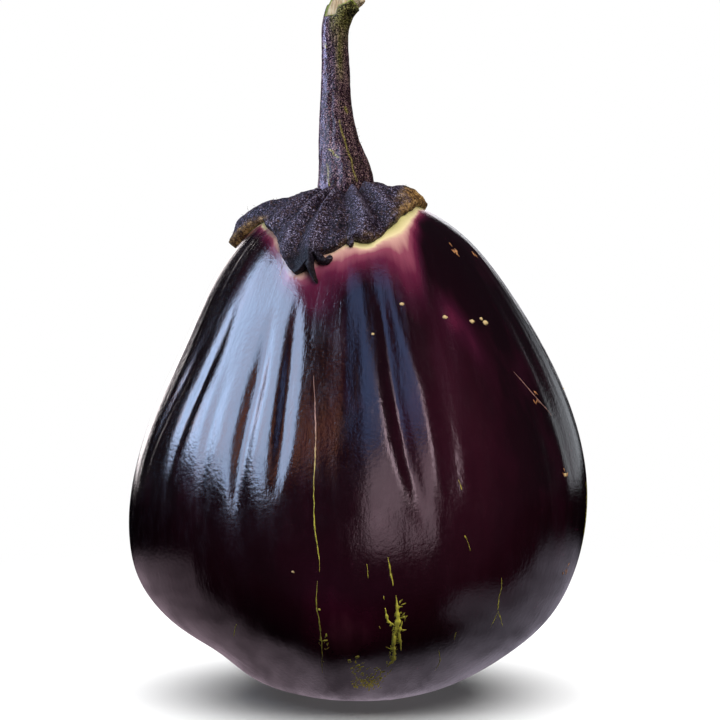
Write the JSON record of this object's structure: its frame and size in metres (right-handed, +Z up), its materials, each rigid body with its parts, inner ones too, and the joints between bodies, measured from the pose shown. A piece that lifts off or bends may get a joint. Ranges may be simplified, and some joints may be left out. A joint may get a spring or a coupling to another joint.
{
  "type": "eggplant",
  "caption": "Whole globe eggplant, standing on its base: glossy dark purple ribbed fruit with a leathery lobed calyx and a bent, torn stalk.",
  "frame": {"origin": "middle of the small flat spot that the fruit rests on", "axes": "+Z up towards the stalk; -Y is the front, where the calyx's longest lobe and its claws hang; +X is to the right seen from the front"},
  "size_m": [0.1265, 0.1278, 0.1969],
  "materials": {
    "eggplant_skin": "glossy waxy skin, near-black purple, redder and paler at the calyx",
    "calyx_leather": "rough leathery, finely speckled purple-black",
    "stalk_bark": "rough scurfy green-purple bark with a soft sheen",
    "torn_wood": "matt, pale torn fibres",
    "scar_cork": "matt corky scar tissue"
  },
  "bodies": {
    "root": {"fruit": "eggplant_skin", "calyx": "calyx_leather", "stalk": "stalk_bark"}
  },
  "joints": []
}
